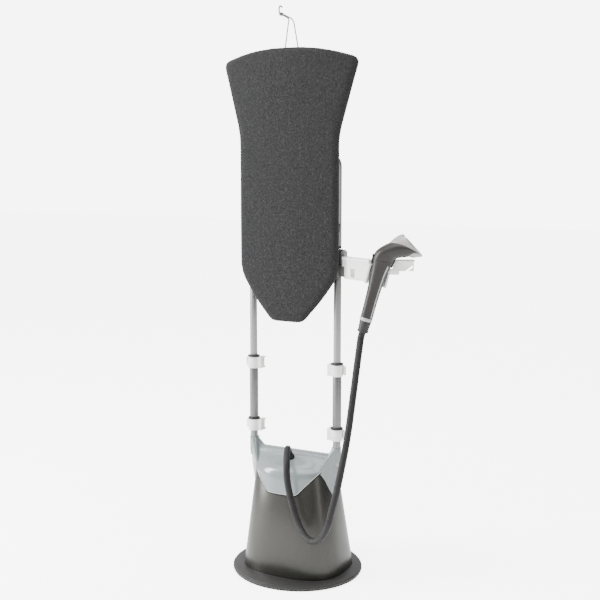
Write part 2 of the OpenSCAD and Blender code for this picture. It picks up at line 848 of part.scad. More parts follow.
// A ring tilted by angle t about the head's side axis; it narrows towards +x by k
function head_ring(x, z, t, a, b, k) = [for (i = [0:ring_sides - 1])
    let (w = 360 * i / ring_sides, u = a * signed_pow(cos(w), 0.9), v = b * signed_pow(sin(w), 0.9) * (1 - k * cos(w)))
    [x + u * cos(t), v, z - u * sin(t)]];
function on_axis(z) = neck_x + z * tan(lean);
grip_bottom = -114;
grip_top = 37;

// The grip grown by g; its open ends run on by e
function grip_rings(g, e) = [
    head_ring(on_axis(grip_bottom - e), grip_bottom - e, lean, grip_a + g, 16 + g, 0),
    head_ring(on_axis(-79), -79, lean, grip_a + g, 16 + g, 0),
    head_ring(on_axis(-44), -44, lean, grip_a + 1 + g, 17 + g, 0),
    head_ring(on_axis(-17), -17, lean, grip_a + 2 + g, 18.5 + g, 0),
    head_ring(on_axis(14), 14, lean, grip_a + 4.5 + g, 20.5 + g, 0),
    head_ring(on_axis(grip_top + e), grip_top + e, lean, grip_a + 7.5 + g, 22 + g, 0)];

// The hood grown by g; its open ends run on by e
function hood_rings(g, e) = [
    head_ring(on_axis(grip_top + 0.2 - e), grip_top + 0.2 - e, lean, grip_a + 7.5 + g, 22 + g, 0),
    head_ring(4, 58, 20, 29 + g, 25 + g, 0.02),
    head_ring(28, 68, 27, 29 + g, 31 + g, 0.06),
    head_ring(50, 76, 31, 31 + g, 36 + g, 0.12),
    head_ring(67.5 + e * sin(32), 83 + e * cos(32), 32, 31.5 + g, 37 + g, 0.18)];

module handle_shell() {
    color(taupe) at_head() difference() {
        loft(grip_rings(0, 0));
        loft(grip_rings(-2.6, 1));
        trigger_pocket();
    }
}

module trigger_pocket() {
    translate([trigger_x, 0, trigger_z]) rotate([0, 24, 0]) box([-9, -8.5, -15], [12, 8.5, 15]);
}

trigger_x = 22;
trigger_z = 40;

module head_shell() {
    color(taupe) at_head() difference() {
        loft(hood_rings(0, 0));
        loft(hood_rings(-2.6, 1));
        trigger_pocket();
    }
}

skirt_tilt = 47.3;
face_x = 80.5;
face_z = 85;

module sole_skirt() {
    color(cloud) at_head() difference() {
        loft([head_ring(45, 70, 38, sole_len * 0.4, 24, 0.1),
              head_ring(62, 78, 42, sole_len * 0.47, 32, 0.16),
              head_ring(face_x, face_z, skirt_tilt, sole_len / 2, 35, 0.22)]);
        loft(hood_rings(gap, 0));
    }
}

module soleplate() {
    color(silver) at_head() difference() {
        loft([head_ring(face_x + 0.1, face_z + 0.1, skirt_tilt, sole_len / 2, 35, 0.22),
              head_ring(face_x + sole_t * sin(skirt_tilt), face_z + sole_t * cos(skirt_tilt), skirt_tilt,
                        sole_len / 2 - 2, 33, 0.22)]);
        for (x = [-26:13:26], y = [-12, 12])
            translate([face_x, 0, face_z]) rotate([0, skirt_tilt, 0]) translate([x, y * (1 - x / 60), 2])
                cylinder(r = 1.6, h = 10);
    }
}

module trigger() {
    color(black) at_head() translate([trigger_x, 0, trigger_z]) rotate([0, 24, 0]) {
        box([-4, -8, -14], [8, 8, 14]);
    }
}

module lock_slider() {
    color(black) at_head() translate([-28, 0, 50]) rotate([0, 11, 0]) box([-3, -6, -14], [0, 6, 14]);
}

module trim_strip() {
    color(cloud) at_head() difference() {
        translate([on_axis(-50) + grip_a, 0, -50]) rotate([0, lean + 1.2, 0]) box([-1, -1.5, -60], [2.4, 1.5, 30]);
        loft(grip_rings(0.02, 3));
    }
}

module on_handle(z) {
    translate([on_axis(z), 0, z]) rotate([0, lean, 0]) children();
}

module hose_ring() {
    color(cloud) at_head() on_handle(grip_bottom) translate([0, 0, -9.6]) difference() {
        cylinder(r = 17.6, h = 9);
        translate([0, 0, -1]) cylinder(r = 9, h = 12);
    }
}

module hose_boot() {
    color(charcoal) at_head() on_handle(grip_bottom) difference() {
        union() {
            translate([0, 0, -36]) cylinder(r1 = 14.5, r2 = 16.8, h = 26.2);
            translate([0, 0, -42]) cylinder(r = 15.4, h = 6);
        }
        translate([0, 0, -36]) cylinder(r = 7, h = 28);
    }
}

module steam_valve() {
    color(silver) at_head() on_handle(-20) cylinder(r = 8, h = 40);
}

// ---------- Steam hose ----------

// The route, from the gland to the bottom of the hose boot
hose_route = [[0, -33, 369.1], [0, -42, 385], [8, -60, 396], [18, -82, 398], [28, -105, 386], [36, -121, 362],
              [41, -129, 332], [49, -133, 298], [61, -137, 262], [76, -142, 226], [94, -150, 196], [122, -166, 176],
              [156, -184, 177], [190, -204, 202], [214, -214, 243], [226, -216, 288], [236, -211, 333],
              [244, -202, 385], [251, -188, 447], [256, -173, 512], [259, -155, 590], [260, -133, 668],
              [259, -111, 728], [257, -97, 755], [261, -95, 772]];
hose_split = 19;

hose_rings = swept(hose_route, hose_r, 10, [1, 0, 0]);

module hose_lower() {
    color(black) loft([for (i = [0:hose_split]) hose_rings[i]]);
}

module hose_upper() {
    color(black) loft([for (i = [hose_split:len(hose_route) - 1]) hose_rings[i]]);
}

base_plate();
foot_ring();
base_screws();
chassis();
body_shell();
top_cover();
yoke();
stub_tubes();
hose_gland();
cord_inlet();
boiler();
heating_element();
thermostat();
pump();
water_pipes();
steam_pipe();
control_board();
power_button();
water_tank();
tank_valve();
filler_flap();
lower_tubes();
lower_clamps();
upper_clamps();
clamp_collars();
lever_pins();
lever_lower_left();
lever_lower_right();
lever_upper_left();
lever_upper_right();
upper_tubes();
pole_caps();
crossbar();
hinge_pins();
tilt_knob();
dock_clamp();
dock_arm();
dock_cradle();
frame_knuckles();
rear_frame();
board_brackets();
board_panel();
board_pad();
board_cover();
hook_bracket();
hanger_hook();
handle_shell();
head_shell();
sole_skirt();
soleplate();
trigger();
lock_slider();
trim_strip();
hose_ring();
hose_boot();
steam_valve();
hose_lower();
hose_upper();
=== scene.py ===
"""Looks of an upright garment steamer: padded board, poles, base, dock, steam head and hose."""
import json
import math

import bmesh
import bpy
from mathutils import Matrix, Vector, noise

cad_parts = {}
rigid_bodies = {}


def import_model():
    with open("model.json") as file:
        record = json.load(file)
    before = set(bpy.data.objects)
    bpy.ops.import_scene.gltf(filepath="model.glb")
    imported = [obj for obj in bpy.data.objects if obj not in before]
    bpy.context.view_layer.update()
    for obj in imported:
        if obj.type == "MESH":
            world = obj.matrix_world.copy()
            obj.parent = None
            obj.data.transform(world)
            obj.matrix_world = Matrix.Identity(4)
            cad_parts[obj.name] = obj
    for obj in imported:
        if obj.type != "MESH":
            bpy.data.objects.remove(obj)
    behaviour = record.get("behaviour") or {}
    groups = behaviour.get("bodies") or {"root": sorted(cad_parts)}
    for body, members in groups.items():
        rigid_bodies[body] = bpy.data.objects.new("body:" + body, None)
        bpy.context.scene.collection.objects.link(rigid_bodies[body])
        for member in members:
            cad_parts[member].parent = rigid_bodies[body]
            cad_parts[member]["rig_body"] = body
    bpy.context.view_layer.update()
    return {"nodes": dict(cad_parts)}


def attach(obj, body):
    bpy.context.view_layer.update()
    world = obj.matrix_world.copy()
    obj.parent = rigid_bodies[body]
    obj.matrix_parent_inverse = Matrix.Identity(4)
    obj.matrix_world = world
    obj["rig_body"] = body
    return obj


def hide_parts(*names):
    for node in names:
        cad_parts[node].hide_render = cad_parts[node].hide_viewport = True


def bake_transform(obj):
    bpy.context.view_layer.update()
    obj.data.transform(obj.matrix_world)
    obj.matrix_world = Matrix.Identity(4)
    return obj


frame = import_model()
MM = 0.001

# ---------- Sizes, in metres ----------

BOARD_FRONT_Y = -0.058
BOARD_BOTTOM_Z = 0.777
BOARD_TOP_Z = 1.557
BOARD_THICK = 0.022
BOW_R = 1.100
HOSE_R = 0.0098

HEAD_TURN = 27
# The steam head's own frame: x forward along the head, z up, origin at the neck
HEAD_PLACE = Matrix.Translation((0.310, -0.070, 0.927)) @ Matrix.Rotation(math.radians(HEAD_TURN), 4, "Z")

# The hose's route from the gland to the boot, the same points as the frame's
HOSE_ROUTE = [
    (0, -33, 369.1), (0, -42, 385), (8, -60, 396), (18, -82, 398), (28, -105, 386), (36, -121, 362),
    (41, -129, 332), (49, -133, 298), (61, -137, 262), (76, -142, 226), (94, -150, 196), (122, -166, 176),
    (156, -184, 177), (190, -204, 202), (214, -214, 243), (226, -216, 288), (236, -211, 333),
    (244, -202, 385), (251, -188, 447), (256, -173, 512), (259, -155, 590), (260, -133, 668),
    (259, -111, 728), (257, -97, 755), (261, -95, 772)]
HOSE_SPLIT = 19

CAMERA_PLACE = (1.3762, -2.6657, 1.258)
CAMERA_TURN = 27
CAMERA_DOWN = 8.06
CAMERA_LENS = 61.32

CLOTH_THICK = 0.0012
PUFF_FRAMES = 16
PUFF_PRESSURE = 3.0
PUFF_CAP = 0.0032
HEM_DEPTH = 0.030
COVER_GROW = 0.006

# ---------- Hands: selecting, editing and finishing ----------


def deselect_all():
    """Leaves edit mode and selects nothing."""
    if bpy.context.mode != "OBJECT":
        bpy.ops.object.mode_set(mode="OBJECT")
    bpy.ops.object.select_all(action="DESELECT")


def hold(piece):
    """Makes one piece the selected and active one."""
    deselect_all()
    piece.select_set(True)
    bpy.context.view_layer.objects.active = piece


def added(name):
    """Names the object that an operator has just added."""
    piece = bpy.context.active_object
    piece.name = name
    piece.data.name = name
    return piece


def open_edit(piece, kind="VERT"):
    hold(piece)
    bpy.ops.object.mode_set(mode="EDIT")
    bpy.ops.mesh.select_mode(type=kind)
    bpy.ops.mesh.select_all(action="DESELECT")


def close_edit():
    bpy.ops.object.mode_set(mode="OBJECT")


def pick(piece, test, kind="verts"):
    """Selects what passes a test in the open edit: vertices, edges or faces."""
    mesh = bmesh.from_edit_mesh(piece.data)
    for item in getattr(mesh, kind):
        item.select_set(bool(test(item)))
    mesh.select_flush_mode()
    bmesh.update_edit_mesh(piece.data)


def apply(piece, kind, **settings):
    """Adds one modifier and applies it."""
    hold(piece)
    modifier = piece.modifiers.new(kind.lower(), kind)
    for key, value in settings.items():
        setattr(modifier, key, value)
    bpy.ops.object.modifier_apply(modifier=modifier.name)


def smooth(piece, angle=35):
    hold(piece)
    bpy.ops.object.shade_smooth_by_angle(angle=math.radians(angle))


def put(piece, matrix):
    """Moves a piece's mesh by a matrix."""
    piece.data.transform(matrix)
    piece.data.update()
    return piece


def outward(piece):
    """Merges doubled points and turns every face outwards."""
    open_edit(piece)
    bpy.ops.mesh.select_all(action="SELECT")
    bpy.ops.mesh.remove_doubles(threshold=0.00002)
    bpy.ops.mesh.normals_make_consistent(inside=False)
    close_edit()


def finished(piece, body, look, nodes=(), angle=35):
    """Last steps of every piece: smoothing, material, body and the nodes it stands for."""
    smooth(piece, angle)
    piece.data.materials.clear()
    piece.data.materials.append(look)
    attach(piece, body)
    if nodes:
        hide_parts(*nodes)
    return piece


def refined(node, look, bevel=0.8 * MM, segments=2, angle=35):
    """A frame piece's own shape with its edges rounded, standing for that piece."""
    source = frame["nodes"][node]
    piece = bpy.data.objects.new(node + "_finished", source.data.copy())
    bpy.context.scene.collection.objects.link(piece)
    open_edit(piece)
    bpy.ops.mesh.select_all(action="SELECT")
    bpy.ops.mesh.remove_doubles(threshold=0.00003)
    bpy.ops.mesh.dissolve_limited(angle_limit=math.radians(0.8))
    close_edit()
    if bevel:
        apply(piece, "BEVEL", width=bevel, segments=segments, limit_method="ANGLE",
              angle_limit=math.radians(40), use_clamp_overlap=True)
    return finished(piece, source["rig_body"], look, [node], angle)


# ---------- Shader effects, each built once ----------


def socket(tree, name, side, kind="NodeSocketFloat", value=None):
    made = tree.interface.new_socket(name=name, in_out=side, socket_type=kind)
    if value is not None:
        made.default_value = value
    return made


def new_group(name, inputs, outputs):
    tree = bpy.data.node_groups.new(name, "ShaderNodeTree")
    for label, value in inputs.items():
        socket(tree, label, "INPUT", value=value)
    for label in outputs:
        socket(tree, label, "OUTPUT")
    return tree, tree.nodes.new("NodeGroupInput"), tree.nodes.new("NodeGroupOutput")


def math_node(tree, operation, a, b=None, clamp=False):
    node = tree.nodes.new("ShaderNodeMath")
    node.operation = operation
    node.use_clamp = clamp
    for place, value in enumerate((a, b)):
        if value is None:
            continue
        if isinstance(value, (int, float)):
            node.inputs[place].default_value = value
        else:
            tree.links.new(value, node.inputs[place])
    return node.outputs[0]


def noise_node(tree, vector, scale, detail=2.0, rough=0.5):
    node = tree.nodes.new("ShaderNodeTexNoise")
    node.inputs["Detail"].default_value = detail
    node.inputs["Roughness"].default_value = rough
    tree.links.new(vector, node.inputs["Vector"])
    if isinstance(scale, (int, float)):
        node.inputs["Scale"].default_value = scale
    else:
        tree.links.new(scale, node.inputs["Scale"])
    return node.outputs["Fac"]


def object_point(tree, stretch=(1, 1, 1)):
    """The point on the piece, stretched along its axes."""
    place = tree.nodes.new("ShaderNodeTexCoord").outputs["Object"]
    mapping = tree.nodes.new("ShaderNodeMapping")
    mapping.inputs["Scale"].default_value = stretch
    tree.links.new(place, mapping.inputs["Vector"])
    return mapping.outputs["Vector"]


def spread(tree, value, low, high):
    """Stretches a value's low-to-high stretch over 0 to 1."""
    node = tree.nodes.new("ShaderNodeMapRange")
    node.inputs["From Min"].default_value = low
    node.inputs["From Max"].default_value = high
    tree.links.new(value, node.inputs["Value"])
    return node.outputs["Result"]


def make_grain():
    """Fine moulded grain, a slow change of tone, and faint handling marks."""
    tree, start, end = new_group("moulded_grain", {"Scale": 1400.0}, ["Height", "Tone", "Marks"])
    here = object_point(tree)
    tree.links.new(noise_node(tree, here, start.outputs["Scale"], 2.0), end.inputs["Height"])
    tree.links.new(noise_node(tree, here, 14.0, 3.0), end.inputs["Tone"])
    marks = noise_node(tree, object_point(tree, (1, 1, 0.35)), 60.0, 6.0, 0.7)
    tree.links.new(spread(tree, marks, 0.52, 0.75), end.inputs["Marks"])
    return tree


def make_brushed():
    """Long drawn lines along the height, with a slow change of tone."""
    tree, start, end = new_group("drawn_lines", {"Scale": 900.0}, ["Height", "Tone"])
    lines = noise_node(tree, object_point(tree, (1, 1, 0.012)), start.outputs["Scale"], 2.0)
    tree.links.new(lines, end.inputs["Height"])
    tree.links.new(noise_node(tree, object_point(tree), 9.0, 2.0), end.inputs["Tone"])
    return tree


def make_wear():
    """A mask of worn edges, broken up by noise."""
    tree, start, end = new_group("edge_wear", {"Amount": 1.0}, ["Mask"])
    edges = spread(tree, tree.nodes.new("ShaderNodeNewGeometry").outputs["Pointiness"], 0.52, 0.60)
    broken = spread(tree, noise_node(tree, object_point(tree), 180.0, 4.0, 0.65), 0.35, 0.65)
    mask = math_node(tree, "MULTIPLY", edges, broken, True)
    tree.links.new(math_node(tree, "MULTIPLY", mask, start.outputs["Amount"], True), end.inputs["Mask"])
    return tree


def make_weave():
    """Plain weave across X and Z with heather threads and slow mottling."""
    tree, start, end = new_group("heather_weave", {"Pitch": 4200.0}, ["Height", "Thread", "Mottle"])
    here = tree.nodes.new("ShaderNodeTexCoord").outputs["Object"]
    split = tree.nodes.new("ShaderNodeSeparateXYZ")
    tree.links.new(here, split.inputs["Vector"])
    waves = []
    for axis in ("X", "Z"):
        turned = math_node(tree, "MULTIPLY", split.outputs[axis], start.outputs["Pitch"])
        waves.append(math_node(tree, "SINE", turned))
    over = math_node(tree, "MULTIPLY", waves[0], waves[1])
    tree.links.new(math_node(tree, "MULTIPLY_ADD", over, 0.5), end.inputs["Height"])
    across = noise_node(tree, object_point(tree, (1, 1, 0.16)), 900.0, 1.0)
    along = noise_node(tree, object_point(tree, (0.16, 1, 1)), 900.0, 1.0)
    tree.links.new(math_node(tree, "MAXIMUM", across, along), end.inputs["Thread"])
    tree.links.new(noise_node(tree, object_point(tree), 210.0, 3.0, 0.7), end.inputs["Mottle"])
    return tree


GRAIN = make_grain()
BRUSHED = make_brushed()
WEAR = make_wear()
WEAVE = make_weave()

# ---------- Materials ----------


class Look:
    """One material being built: its shader, its colour chain and its bump chain."""

    def __init__(self, name, colour, roughness, **sockets):
        self.material = bpy.data.materials.new(name)
        self.material.use_nodes = True
        self.material.diffuse_color = (*colour, 1)
        self.tree = self.material.node_tree
        self.shader = self.tree.nodes["Principled BSDF"]
        for label, value in sockets.items():
            self.shader.inputs[label.replace("_", " ")].default_value = value
        self.colour = None
        self.base = (*colour, 1)
        self.shader.inputs["Base Color"].default_value = self.base
        self.shader.inputs["Roughness"].default_value = roughness
        self.roughness = roughness

    def effect(self, group, **values):
        node = self.tree.nodes.new("ShaderNodeGroup")
        node.node_tree = group
        for label, value in values.items():
            node.inputs[label].default_value = value
        return node

    def tint(self, mask, colour, amount=1.0):
        """Mixes a colour in where a mask is high."""
        mix = self.tree.nodes.new("ShaderNodeMix")
        mix.data_type = "RGBA"
        strength = math_node(self.tree, "MULTIPLY", mask, amount, True)
        self.tree.links.new(strength, mix.inputs["Factor"])
        if self.colour is None:
            mix.inputs[6].default_value = self.base
        else:
            self.tree.links.new(self.colour, mix.inputs[6])
        mix.inputs[7].default_value = (*colour, 1)
        self.colour = mix.outputs[2]
        self.tree.links.new(self.colour, self.shader.inputs["Base Color"])
        return self

    def roughen(self, mask, change):
        """Roughness grows by change where a mask is high."""
        node = self.tree.nodes.new("ShaderNodeMapRange")
        node.inputs["To Min"].default_value = self.roughness
        node.inputs["To Max"].default_value = self.roughness + change
        self.tree.links.new(mask, node.inputs["Value"])
        self.tree.links.new(node.outputs["Result"], self.shader.inputs["Roughness"])
        return self

    def bump(self, height, strength, distance):
        node = self.tree.nodes.new("ShaderNodeBump")
        node.inputs["Strength"].default_value = strength
        node.inputs["Distance"].default_value = distance
        self.tree.links.new(height, node.inputs["Height"])
        self.tree.links.new(node.outputs["Normal"], self.shader.inputs["Normal"])
        return self


def lighter(colour, k):
    """A colour scaled up or down, and held at white."""
    return tuple(min(1.0, c * k) for c in colour)


def plastic(name, colour, roughness, scale=1400.0, bump=0.25, wear=0.35, **sockets):
    """Moulded plastic with fine grain, slow tone, handling marks and paler edges."""
    look = Look(name, colour, roughness, **sockets)
    grain = look.effect(GRAIN, Scale=scale)
    look.tint(grain.outputs["Tone"], lighter(colour, 0.86), 0.5)
    look.tint(look.effect(WEAR, Amount=wear).outputs["Mask"], lighter(colour, 1.6), 0.6)
    look.roughen(grain.outputs["Marks"], 0.10)
    look.bump(grain.outputs["Height"], bump, 0.00012)
    return look.material


def metal(name, colour, roughness, scale=900.0, bump=0.2, **sockets):
    """Drawn or brushed metal with lines along its height."""
    look = Look(name, colour, roughness, Metallic=1.0, **sockets)
    lines = look.effect(BRUSHED, Scale=scale)
    look.tint(lines.outputs["Tone"], lighter(colour, 0.84), 0.6)
    look.tint(look.effect(WEAR, Amount=0.6).outputs["Mask"], lighter(colour, 1.3), 0.6)
    look.roughen(lines.outputs["Height"], 0.08)
    look.bump(lines.outputs["Height"], bump, 0.00005)
    return look.material


def heather_cloth():
    """Dark heather cotton: woven, with paler and darker threads."""
    look = Look("heather_cloth", (0.014, 0.014, 0.0145), 0.92, Specular_IOR_Level=0.15,
                Sheen_Weight=0.05, Sheen_Roughness=0.5)
    weave = look.effect(WEAVE, Pitch=4200.0)
    pale = spread(look.tree, weave.outputs["Thread"], 0.56, 0.72)
    look.tint(pale, (0.045, 0.045, 0.046), 0.75)
    dark = spread(look.tree, weave.outputs["Mottle"], 0.50, 0.68)
    look.tint(dark, (0.005, 0.005, 0.0055), 0.7)
    look.bump(weave.outputs["Height"], 0.5, 0.0004)
    return look.material


def graphite_lacquer():
    """Satin metallic lacquer with fine flakes."""
    look = Look("graphite_lacquer", (0.036, 0.035, 0.031), 0.36, Metallic=0.75, Coat_Weight=0.25,
                Coat_Roughness=0.25)
    grain = look.effect(GRAIN, Scale=2600.0)
    look.tint(grain.outputs["Height"], (0.062, 0.062, 0.056), 0.45)
    look.tint(grain.outputs["Tone"], (0.030, 0.030, 0.026), 0.4)
    look.roughen(grain.outputs["Marks"], 0.06)
    look.bump(grain.outputs["Height"], 0.10, 0.00005)
    return look.material


def taupe_shell():
    """Satin taupe plastic with fine slanting lines."""
    look = Look("taupe_shell", (0.022, 0.019, 0.0185), 0.38, Specular_IOR_Level=0.3)
    turn = look.tree.nodes.new("ShaderNodeMapping")
    turn.inputs["Rotation"].default_value = (0, math.radians(38), math.radians(-27))
    place = look.tree.nodes.new("ShaderNodeTexCoord")
    look.tree.links.new(place.outputs["Object"], turn.inputs["Vector"])
    bands = look.tree.nodes.new("ShaderNodeTexWave")
    bands.inputs["Scale"].default_value = 120.0
    look.tree.links.new(turn.outputs["Vector"], bands.inputs["Vector"])
    grain = look.effect(GRAIN, Scale=1800.0)
    look.tint(bands.outputs["Fac"], (0.013, 0.012, 0.0115), 0.55)
    look.tint(look.effect(WEAR, Amount=0.4).outputs["Mask"], (0.10, 0.095, 0.09), 0.5)
    look.roughen(grain.outputs["Marks"], 0.12)
    look.bump(bands.outputs["Fac"], 0.25, 0.00015)
    return look.material


def hose_jacket():
    """Braided black hose jacket: rings and lines that follow the hose's own map."""
    look = Look("hose_jacket", (0.004, 0.004, 0.0041), 0.50, Specular_IOR_Level=0.25)
    uv = look.tree.nodes.new("ShaderNodeTexCoord").outputs["UV"]
    split = look.tree.nodes.new("ShaderNodeSeparateXYZ")
    look.tree.links.new(uv, split.inputs["Vector"])
    around = math_node(look.tree, "MULTIPLY", split.outputs["X"], 2 * math.pi * 24)
    along = math_node(look.tree, "MULTIPLY", split.outputs["Y"], 2 * math.pi * 420)
    left = math_node(look.tree, "SINE", math_node(look.tree, "ADD", around, along))
    right = math_node(look.tree, "SINE", math_node(look.tree, "SUBTRACT", around, along))
    braid = math_node(look.tree, "MAXIMUM", left, right)
    grain = look.effect(GRAIN, Scale=900.0)
    look.tint(grain.outputs["Tone"], (0.011, 0.011, 0.0113), 0.6)
    look.roughen(grain.outputs["Marks"], 0.15)
    look.bump(braid, 0.5, 0.0003)
    return look.material


CLOTH = heather_cloth()
LACQUER = graphite_lacquer()
TAUPE = taupe_shell()
JACKET = hose_jacket()
PLATE = plastic("plate_plastic", (0.018, 0.0175, 0.017), 0.40, 900.0, 0.35, Specular_IOR_Level=0.35)
RUBBER = plastic("black_rubber", (0.005, 0.005, 0.005), 0.75, 700.0, 0.4, Specular_IOR_Level=0.2)
CLOUD = plastic("cloud_gloss", (0.155, 0.178, 0.182), 0.24, 2200.0, 0.05, 0.25, Coat_Weight=0.5,
                Coat_Roughness=0.12)
WHITE = plastic("white_plastic", (0.80, 0.80, 0.78), 0.32, 1600.0, 0.12, 0.2)
GREY = plastic("dark_grey_plastic", (0.020, 0.020, 0.021), 0.50, 1100.0, 0.35, Specular_IOR_Level=0.3)
KNUCKLE = plastic("pale_grey_plastic", (0.16, 0.16, 0.155), 0.45, 1100.0, 0.3)
BLACK = plastic("black_plastic", (0.005, 0.005, 0.005), 0.38, 1200.0, 0.3, Specular_IOR_Level=0.3)
SKIRT = plastic("skirt_plastic", (0.30, 0.28, 0.265), 0.28, 2000.0, 0.08, 0.25, Coat_Weight=0.3)
SMOKE = plastic("smoked_tank", (0.018, 0.020, 0.022), 0.14, 2400.0, 0.03, 0.2, Coat_Weight=0.6)
FOAM = plastic("foam_pad", (0.70, 0.69, 0.66), 0.95, 500.0, 0.8)
PANEL = plastic("panel_coat", (0.022, 0.022, 0.023), 0.5, 1500.0, 0.25, Metallic=0.2)
CLAMP = plastic("clamp_grey", (0.085, 0.085, 0.083), 0.42, 1100.0, 0.3)
TRIM = plastic("trim_light", (0.30, 0.31, 0.31), 0.25, 2000.0, 0.05, 0.2, Coat_Weight=0.4)
CIRCUIT = plastic("circuit_green", (0.02, 0.12, 0.05), 0.4)
SILVER = metal("satin_tube", (0.24, 0.24, 0.235), 0.36)
DARK_SILVER = metal("lower_tube", (0.16, 0.16, 0.158), 0.40)
STEEL = metal("polished_steel", (0.40, 0.40, 0.39), 0.22, 1300.0, 0.15)
WIRE = metal("hook_wire", (0.20, 0.19, 0.175), 0.34)
CAST = metal("cast_alloy", (0.42, 0.42, 0.42), 0.55)

# ---------- Camera, hose, floor and light ----------


def make_camera():
    """Stands to the right of the front, a little above the board's middle, looking slightly down."""
    bpy.ops.object.camera_add(location=CAMERA_PLACE, rotation=(
        math.radians(90 - CAMERA_DOWN), 0, math.radians(CAMERA_TURN)))
    camera = bpy.context.active_object
    camera.name = "camera"
    camera.data.lens = CAMERA_LENS
    camera.data.sensor_width = 36
    camera.data.clip_end = 50
    bpy.context.scene.camera = camera


def curve_through(points, steps):
    """Points along one smooth curve through the given ones."""
    line = []
    last = len(points) - 1
    for i in range(last):
        before, here = points[max(i - 1, 0)], points[i]
        after, later = points[i + 1], points[min(i + 2, last)]
        for step in range(steps):
            t = step / steps
            line.append(0.5 * (2 * here + (after - before) * t
                               + (2 * before - 5 * here + 4 * after - later) * t * t
                               + (3 * here - before - 3 * after + later) * t ** 3))
    return line + [points[last]]


def tube_along(name, line, radius, sides):
    """A closed tube with a ring at each point of a line, and its own map along and round it."""
    mesh = bmesh.new()
    uv = mesh.loops.layers.uv.new("UVMap")
    rings = []
    side = Vector((1, 0, 0))
    lengths = [0.0]
    for i, point in enumerate(line):
        heading = (line[min(i + 1, len(line) - 1)] - line[max(i - 1, 0)]).normalized()
        side = (side - heading * side.dot(heading)).normalized()
        up = heading.cross(side)
        rings.append([mesh.verts.new(point + radius * (side * math.cos(a) + up * math.sin(a)))
                      for a in (2 * math.pi * k / sides for k in range(sides))])
        if i:
            lengths.append(lengths[-1] + (point - line[i - 1]).length)
    for i in range(len(rings) - 1):
        for k in range(sides):
            j = (k + 1) % sides
            face = mesh.faces.new((rings[i][k], rings[i][j], rings[i + 1][j], rings[i + 1][k]))
            corners = ((k, i), (k + 1, i), (k + 1, i + 1), (k, i + 1))
            for loop, (around, along) in zip(face.loops, corners):
                loop[uv].uv = (around / sides, lengths[along])
    mesh.faces.new(list(reversed(rings[0])))
    mesh.faces.new(rings[-1])
    data = bpy.data.meshes.new(name)
    mesh.to_mesh(data)
    mesh.free()
    piece = bpy.data.objects.new(name, data)
    bpy.context.scene.collection.objects.link(piece)
    return piece


def make_hoses():
    """The steam hose in two lengths, each standing for one of the frame's hose nodes."""
    steps = 6
    line = curve_through([Vector(p) * MM for p in HOSE_ROUTE], steps)
    cut = HOSE_SPLIT * steps
    stretches = {
        "steam_hose_lower": (line[:cut + 1], "hose_lower", "root", "mast",
                             (0.200, -0.2, 0.167), (0.402, -0.2, 0.318)),
        "steam_hose_upper": (line[cut:], "hose_upper", "mast", "steam_head",
                             (0.256, -0.173, 0.520), (0.260, -0.100, 0.750))}
    for name, (points, node, low, high, start, end) in stretches.items():
        hose = tube_along(name, points, HOSE_R, 20)
        smooth(hose, 60)
        hose.data.materials.append(JACKET)
        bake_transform(hose)
        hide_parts(node)


def make_floor():
    """A plain pale floor with a faint glow, so that it runs into the studio behind."""
    bpy.ops.mesh.primitive_plane_add(size=30, location=(0, 0, 0))
    floor = added("floor")
    look = Look("pale_floor", (0.86, 0.86, 0.86), 0.65)
    look.shader.inputs["Emission Color"].default_value = (1, 1, 1, 1)
    seen = look.tree.nodes.new("ShaderNodeLightPath").outputs["Is Camera Ray"]
    glow = math_node(look.tree, "ADD", math_node(look.tree, "MULTIPLY", seen, 4.0), 0.5)
    look.tree.links.new(glow, look.shader.inputs["Emission Strength"])
    floor.data.materials.append(look.material)


def area_light(name, place, target, size, power):
    bpy.ops.object.light_add(type="AREA", location=place)
    light = bpy.context.active_object
    light.name = name
    light.data.shape = "RECTANGLE"
    light.data.size, light.data.size_y = size
    light.data.energy = power
    light.rotation_euler = (Vector(target) - Vector(place)).to_track_quat("-Z", "Y").to_euler()


def make_world():
    """A pale studio: white behind the piece, lit mostly from the left and above."""
    world = bpy.data.worlds.new("studio")
    world.use_nodes = True
    tree = world.node_tree
    background = tree.nodes["Background"]
    background.inputs["Color"].default_value = (1, 1, 1, 1)
    split = tree.nodes.new("ShaderNodeSeparateXYZ")
    tree.links.new(tree.nodes.new("ShaderNodeTexCoord").outputs["Generated"], split.inputs["Vector"])
    left = math_node(tree, "MULTIPLY", split.outputs["X"], -0.85)
    above = math_node(tree, "MULTIPLY", split.outputs["Z"], 0.5)
    lit = spread(tree, math_node(tree, "ADD", left, above), -0.5, 0.9)
    seen = tree.nodes.new("ShaderNodeLightPath").outputs["Is Camera Ray"]
    glow = math_node(tree, "ADD", math_node(tree, "MULTIPLY", lit, 1.5), 0.12)
    strength = math_node(tree, "MAXIMUM", glow, math_node(tree, "MULTIPLY", seen, 7.0))
    tree.links.new(strength, background.inputs["Strength"])
    bpy.context.scene.world = world


def make_lights():
    area_light("key_left", (-2.8, -1.8, 2.0), (0, 0, 0.8), (1.0, 2.6), 300)
    area_light("fill_right", (3.2, -1.0, 1.6), (0, 0, 0.8), (0.6, 2.4), 22)
    bpy.ops.object.light_add(type="SUN", location=(0, 0, 4), rotation=(math.radians(8), math.radians(6), 0))
    sun = bpy.context.active_object
    sun.name = "top_soft"
    sun.data.energy = 5.0
    sun.data.angle = math.radians(70)
    make_world()


# ---------- Board ----------


